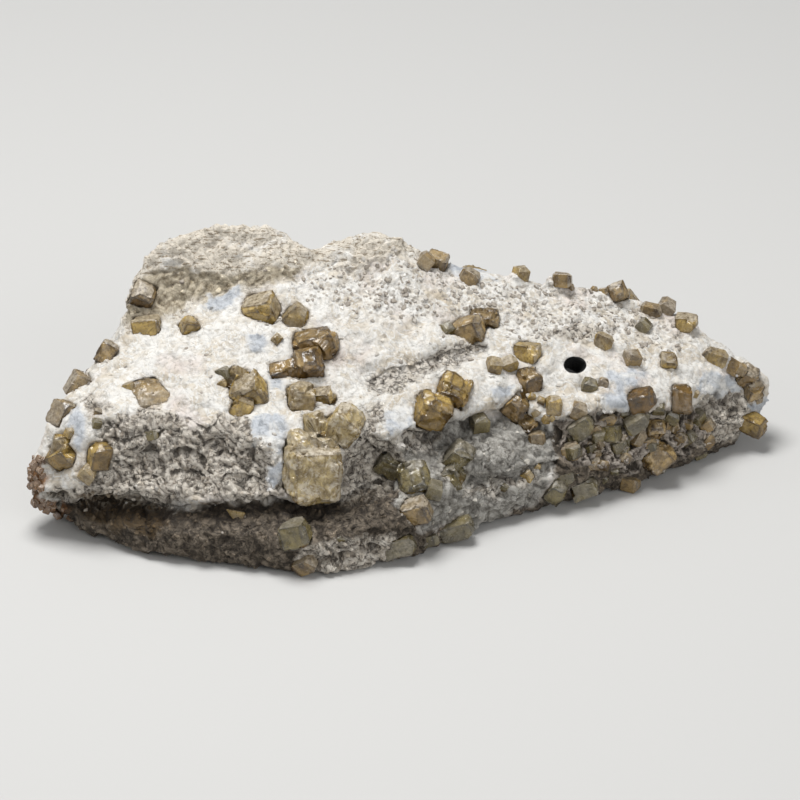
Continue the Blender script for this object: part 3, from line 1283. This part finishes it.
# %% Small crystals by pixel
# Each one: its pixel, width and length, axis (right, up, toward the viewer), turn, and how far it is sunk
# as a share of its width
LITTLE = {
    "honey": [
        ((277, 339), 2.4, 2.6, (0.1, 0.3, 0.95), 45, 0.1), ((129, 386), 2.2, 3.0, (0.9, 0.2, 0.4), 20, 0.2),
        ((541, 401), 1.9, 2.2, (0.3, 0.5, 0.8), 15, 0.0), ((532, 397), 1.6, 1.8, (0.6, 0.5, 0.6), 30, 0.0),
        ((538, 467), 1.5, 1.8, (0.5, 0.7, 0.5), 10, 0.1), ((696, 394), 1.5, 2.0, (0.4, 0.8, 0.4), 0, 0.0),
        ((536, 414), 1.5, 2.2, (0.8, 0.4, 0.5), 0, 0.1), ((546, 420), 1.8, 2.2, (0.4, 0.8, 0.5), 40, 0.1),
        ((535, 424), 1.4, 1.8, (0.2, 0.9, 0.3), 10, 0.1), ((552, 418), 1.4, 1.8, (0.7, 0.6, 0.3), 25, 0.1),
        ((222, 384), 1.8, 2.6, (0.8, 0.5, 0.3), 10, 0.1), ((276, 377), 1.6, 2.4, (0.9, 0.1, 0.3), 25, 0.1),
        ((70, 434), 2.6, 3.0, (0.3, 0.9, 0.3), 35, 0.2), ((74, 452), 2.0, 2.6, (0.5, 0.6, 0.6), 10, 0.2),
        ((528, 477), 2.6, 3.2, (0.7, 0.3, 0.6), 20, 0.2), ((238, 516), 4.2, 6.6, (0.97, -0.15, 0.2), 8, 0.42),
    ],
    "brown": [
        ((604, 383), 2.4, 3.2, (0.4, 0.9, 0.3), 15, 0.2), ((579, 410), 3.6, 4.4, (0.5, 0.8, 0.4), 20, 0.3),
        ((606, 418), 2.8, 5.0, (0.9, 0.3, 0.2), 30, 0.3), ((616, 446), 2.6, 3.6, (0.8, 0.3, 0.4), 10, 0.3),
        ((648, 445), 2.4, 4.6, (0.9, 0.35, 0.2), 25, 0.3), ((678, 438), 2.4, 3.2, (0.7, 0.6, 0.3), 0, 0.3),
        ((706, 428), 2.8, 3.8, (0.8, 0.5, 0.3), 20, 0.3), ((708, 441), 3.0, 4.0, (0.6, 0.7, 0.3), 40, 0.3),
        ((606, 290), 1.8, 2.6, (0.9, 0.1, 0.3), 10, 0.1), ((596, 288), 1.5, 1.8, (0.5, 0.6, 0.5), 30, 0.1),
        ((708, 353), 2.0, 2.6, (0.7, 0.5, 0.5), 10, 0.1),
        ((742, 370), 2.4, 2.8, (0.5, 0.7, 0.4), 20, 0.1), ((742, 384), 2.8, 3.2, (0.4, 0.5, 0.7), 10, 0.2),
        ((758, 381), 2.0, 2.6, (0.8, -0.4, 0.4), 0, 0.1), ((757, 398), 2.4, 3.0, (0.7, -0.3, 0.5), 30, 0.1),
        ((443, 264), 2.0, 2.6, (0.5, 0.8, 0.2), 30, 0.1),
        ((697, 318), 1.9, 2.4, (0.8, -0.2, 0.4), 10, 0.1), ((576, 284), 1.6, 2.0, (0.8, 0.2, 0.4), 10, 0.1),
        ((98, 412), 2.0, 2.6, (0.3, 0.8, 0.4), 15, 0.2), ((305, 565), 3.8, 5.6, (0.8, 0.3, 0.5), 30, 0.38),
        ((140, 304), 2.6, 3.4, (0.2, 0.9, 0.3), 10, 0.2), ((150, 289), 2.0, 2.8, (0.3, 0.8, 0.4), 40, 0.2),
    ],
    "olive": [
        ((223, 373), 2.8, 3.6, (0.9, 0.2, 0.4), 15, 0.25), ((97, 424), 2.2, 2.8, (0.3, 0.8, 0.5), 25, 0.1),
        ((152, 434), 2.6, 3.6, (0.9, 0.2, 0.4), 0, 0.34), ((568, 476), 2.8, 4.6, (0.95, 0.2, 0.2), 25, 0.3),
        ((604, 480), 1.8, 2.4, (0.6, 0.5, 0.5), 10, 0.2), ((428, 541), 2.8, 6.4, (0.95, 0.25, 0.1), 20, 0.3),
        ((661, 470), 2.2, 3.0, (0.9, 0.2, 0.3), 10, 0.3), ((703, 457), 2.0, 3.4, (0.9, 0.35, 0.2), 30, 0.3),
        ((505, 487), 1.7, 2.0, (0.5, 0.5, 0.6), 10, 0.2), ((340, 540), 2.2, 2.6, (0.5, 0.5, 0.6), 40, 0.3),
    ],
    "rust": [
        ((34, 466), 1.7, 2.2, (-0.3, 0.9, 0.3), 10, 0.2), ((31, 478), 1.6, 2.2, (-0.7, 0.5, 0.4), 30, 0.2),
        ((37, 484), 1.9, 2.2, (-0.5, 0.6, 0.5), 0, 0.2), ((32, 493), 1.7, 2.3, (-0.8, 0.2, 0.4), 20, 0.2),
        ((35, 503), 1.9, 2.4, (-0.7, -0.3, 0.5), 35, 0.2), ((42, 511), 1.9, 2.3, (-0.4, -0.6, 0.5), 10, 0.2),
        ((54, 515), 1.7, 2.4, (0.6, -0.6, 0.4), 25, 0.3), ((44, 460), 1.3, 1.6, (-0.5, 0.7, 0.4), 10, 0.1),
        ((66, 520), 1.4, 2.0, (0.7, -0.5, 0.3), 0, 0.3), ((29, 486), 1.4, 1.7, (-0.9, 0.1, 0.3), 15, 0.2),
    ],
}
LITTLE_BEVEL = 0.07 * MM
HIDDEN_LITTLE = 90
COMB_LITTLE = 44
RUST_LITTLE = 40


def add_crystal(shape, stand, wide, length, draw):
    """Adds one small crystal to a mesh: a square prism whose ends are cut-off pyramids."""
    half = wide / 2
    rings = [
        (-length / 2, draw.uniform(0.55, 0.75)), (-length * 0.36, 1.0), (length * 0.30, 1.0),
        (length / 2, draw.uniform(0.40, 0.70)),
    ]
    made = []
    for height, share in rings:
        for side_x, side_y in ((1, 1), (-1, 1), (-1, -1), (1, -1)):
            corner = Vector((side_x * half * share, side_y * half * share * 0.92, height))
            corner += Vector([draw.uniform(-0.05, 0.05) * wide for _ in range(3)])
            made.append(shape.verts.new(stand @ (corner * MM)))
    lifted = max(0, ABOVE_FLOOR - min(vertex.co.z for vertex in made))
    for vertex in made:
        vertex.co.z += lifted
    hull = bmesh.ops.convex_hull(shape, input=made)
    left_over = set(hull["geom_interior"] + hull["geom_unused"])
    loose = [part for part in left_over if isinstance(part, bmesh.types.BMVert)]
    bmesh.ops.delete(shape, geom=loose, context="VERTS")


def little_piece(name, stands, seed):
    """One mesh of small crystals."""
    draw = random.Random(seed)
    shape = bmesh.new()
    for stand, wide, length in stands:
        add_crystal(shape, stand, wide, length, draw)
    bmesh.ops.dissolve_limit(shape, angle_limit=math.radians(7), verts=shape.verts, edges=shape.edges)
    dust = shape.faces.layers.float.new("face_dust")
    for face in sorted(shape.faces, key=lambda face: tuple(face.calc_center_median())):
        face[dust] = face_dust(face.normal, draw)
    bmesh.ops.bevel(
        shape, geom=shape.edges[:], offset=LITTLE_BEVEL, segments=1, affect="EDGES", clamp_overlap=True
    )
    bmesh.ops.recalc_face_normals(shape, faces=shape.faces)
    mesh = bpy.data.meshes.new(name)
    shape.to_mesh(mesh)
    shape.free()
    thing = linked(name, mesh)
    places = corners(mesh)
    to_rock = np.array([rock_tree.find_nearest(Vector(place))[3] for place in places])
    keep(mesh, "to_edge", np.full(len(places), 0.35))
    keep(mesh, "to_rock", np.clip(to_rock / (0.35 * MM), 0, 1))
    return thing


def stands_on_rock(rows):
    """Where each crystal of a list stands, sunk below the rock's skin by a share of its width."""
    stands = []
    for pixel, wide, length, axis, turn, sunk in rows:
        place, facing = seat(rock_tree, *pixel)
        middle = Matrix.Translation(place - facing * wide * sunk * MM)
        stands.append((middle @ posture(axis, turn), wide, length))
    return stands


def strewn(density, count, smallest, largest, seed, sunk=0.15):
    """Crystals at random spots and in random postures."""
    draws = np.random.default_rng(seed)
    draw = random.Random(seed)
    stands = []
    for place, facing, _ in zip(*spots_on(block.data, density, count, draws)):
        wide = draw.uniform(smallest, largest)
        turned = Vector([draw.gauss(0, 1) for _ in range(3)]).to_track_quat("Z", "Y").to_matrix().to_4x4()
        middle = Matrix.Translation(Vector(place) - Vector(facing) * wide * sunk * MM)
        stands.append((middle @ turned, wide, wide * draw.uniform(1.0, 1.4)))
    return stands


def behind_rock(one):
    """Whether rock hides all of a crystal from the eye."""
    stand, wide, length = one
    reach = max(wide, length) * 1.3 * MM
    for side in (UP, -UP, RIGHT, -RIGHT):
        tip = stand.translation + side * reach
        if rock_tree.ray_cast(EYE, (tip - EYE).normalized(), (tip - EYE).length - 2 * reach)[0] is None:
            return False
    return True


# On the sides that the photograph doesn't show
away = np.clip(0.1 - normals @ np.array(TOWARD), 0, 1) * up_here
hidden = [one for one in strewn(away, HIDDEN_LITTLE, 1.4, 3.4, 21) if behind_rock(one)]
# The crowd of crystals in the lower right part
comb_crystals = strewn(kept_shares["comb"] * up_here, COMB_LITTLE, 1.6, 3.6, 22, 0.36)
strewn_of = {
    "honey": hidden[0::3],
    "brown": hidden[1::3] + comb_crystals[0::2],
    "olive": hidden[2::3] + comb_crystals[1::2],
    "rust": strewn(kept_shares["rust"], RUST_LITTLE, 0.8, 1.8, 23),
}
for number, colour in enumerate(LITTLE):
    stands = bump_stands.get(colour, []) + stands_on_rock(LITTLE[colour]) + strewn_of[colour]
    little = little_piece("small_" + colour + "_crystals", stands, 31 + number)
    dressed(little, finishes[colour])
    print(little.name, "of", len(stands))

# %% [markdown]
# ## Grains
#
# Along the top of the block the calcite is full of grains a millimetre or two wide, grey-brown and
# rounded. They are stones again, rounder and darker, in the grainy region alone.

# %% Scatter the grains
GRAIN_COUNT = 1100
GRAIN_POINTS = 26
GRAIN_DARK = (0.17, 0.145, 0.12)
GRAIN_PALE = (0.36, 0.32, 0.265)


def grain_finish():
    grain = Finish("grain_finish")
    mottled = grain.kept("crest") + grain.speckle(0.8, 4) * 0.3
    colour = grain.mixed(mottled.between(0.28, 0.56), GRAIN_DARK, GRAIN_PALE)
    colour = grain.mixed(grain.kept("tone").between(0.4, 1.3), colour, WHITE)
    grain.set(Base_Color=colour, Roughness=0.55)
    grain.raise_relief(grain.speckle(0.5, 4), 0.1)
    return grain.material


grain_density = (0.012 + kept_shares["grainy"] + 0.35 * kept_shares["pitted"]) * up_here * no_hole
grains = scattered("skarn_grains", grain_density, GRAIN_COUNT, 0.9, 2.0, -0.05, 14, GRAIN_POINTS)
dressed(grains, grain_finish())
print("grains of", len(grains.data.polygons), "triangles")

# %% [markdown]
# ## The studio
#
# The specimen rests on a plain pale floor under soft light: a lamp above it, weaker ones in front and at
# each side, and a pale world that fills the shadows.

# %% Floor and light
FLOOR_SIDE = 4.0


def plain_floor():
    shape = bmesh.new()
    bmesh.ops.create_grid(shape, x_segments=1, y_segments=1, size=FLOOR_SIDE / 2)
    mesh = bpy.data.meshes.new("floor")
    shape.to_mesh(mesh)
    shape.free()
    floor = linked("floor", mesh)
    paint = Finish("floor_paint")
    paint.set(Base_Color=(0.50, 0.495, 0.48), Roughness=0.7)
    floor.data.materials.append(paint.material)


def soft_lamp(name, place, side, power):
    """A square lamp that faces the block."""
    light = bpy.data.lights.new(name, "AREA")
    light.size = side
    light.energy = power
    lamp = bpy.data.objects.new(name, light)
    bpy.context.scene.collection.objects.link(lamp)
    lamp.location = place
    lamp.rotation_euler = (Vector(place) - MIDDLE).to_track_quat("Z", "Y").to_euler()


plain_floor()
soft_lamp("top_lamp", (-0.15, 0.08, 0.85), 0.40, 8.8)
soft_lamp("front_lamp", (0.35, -0.9, 0.55), 0.6, 2.0)
soft_lamp("left_lamp", (-0.9, -0.2, 0.35), 0.5, 1.5)
soft_lamp("right_lamp", (0.9, -0.6, 0.45), 0.5, 2.6)
world = bpy.data.worlds.new("studio")
bpy.context.scene.world = world
world.use_nodes = True
sky = world.node_tree.nodes["Background"]
sky.inputs["Color"].default_value = (0.9, 0.92, 0.95, 1)
sky.inputs["Strength"].default_value = 0.30
bpy.context.scene.view_settings.view_transform = "Standard"
